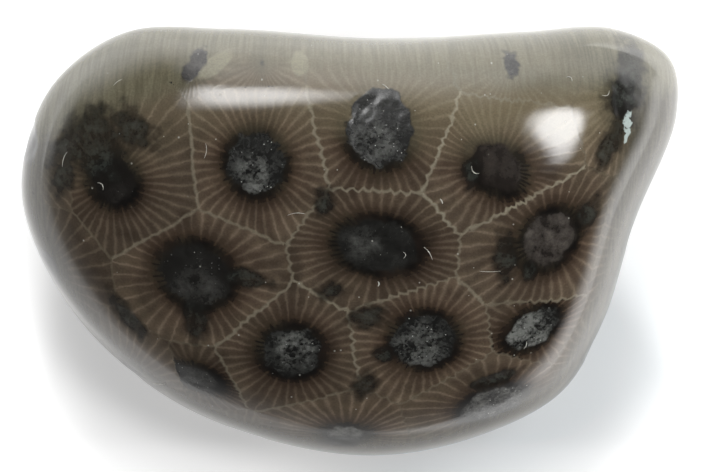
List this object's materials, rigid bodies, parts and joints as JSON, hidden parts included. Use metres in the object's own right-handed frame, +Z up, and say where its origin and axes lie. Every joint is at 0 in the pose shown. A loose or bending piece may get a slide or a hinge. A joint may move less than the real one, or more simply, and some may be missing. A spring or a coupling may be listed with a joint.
{
  "type": "fossil coral head",
  "caption": "Flattened, polished pebble of fossil colony coral, one side slightly hollow, lying on a worn flat underside; a desk or display stone.",
  "frame": {"origin": "middle of the pebble's bounding box in plan, on the plane it rests on", "axes": "+Z up out of the resting flat, +X along the longest side towards the narrow corner, +Y towards the slightly hollow long side"},
  "size_m": [0.054, 0.0354, 0.02],
  "materials": {
    "coral_stone": "high tumbled polish; grey-brown cups with pale walls and fine rays, dark slightly pitted centres"
  },
  "bodies": {
    "root": {"coral_head": "coral_stone"}
  },
  "joints": []
}
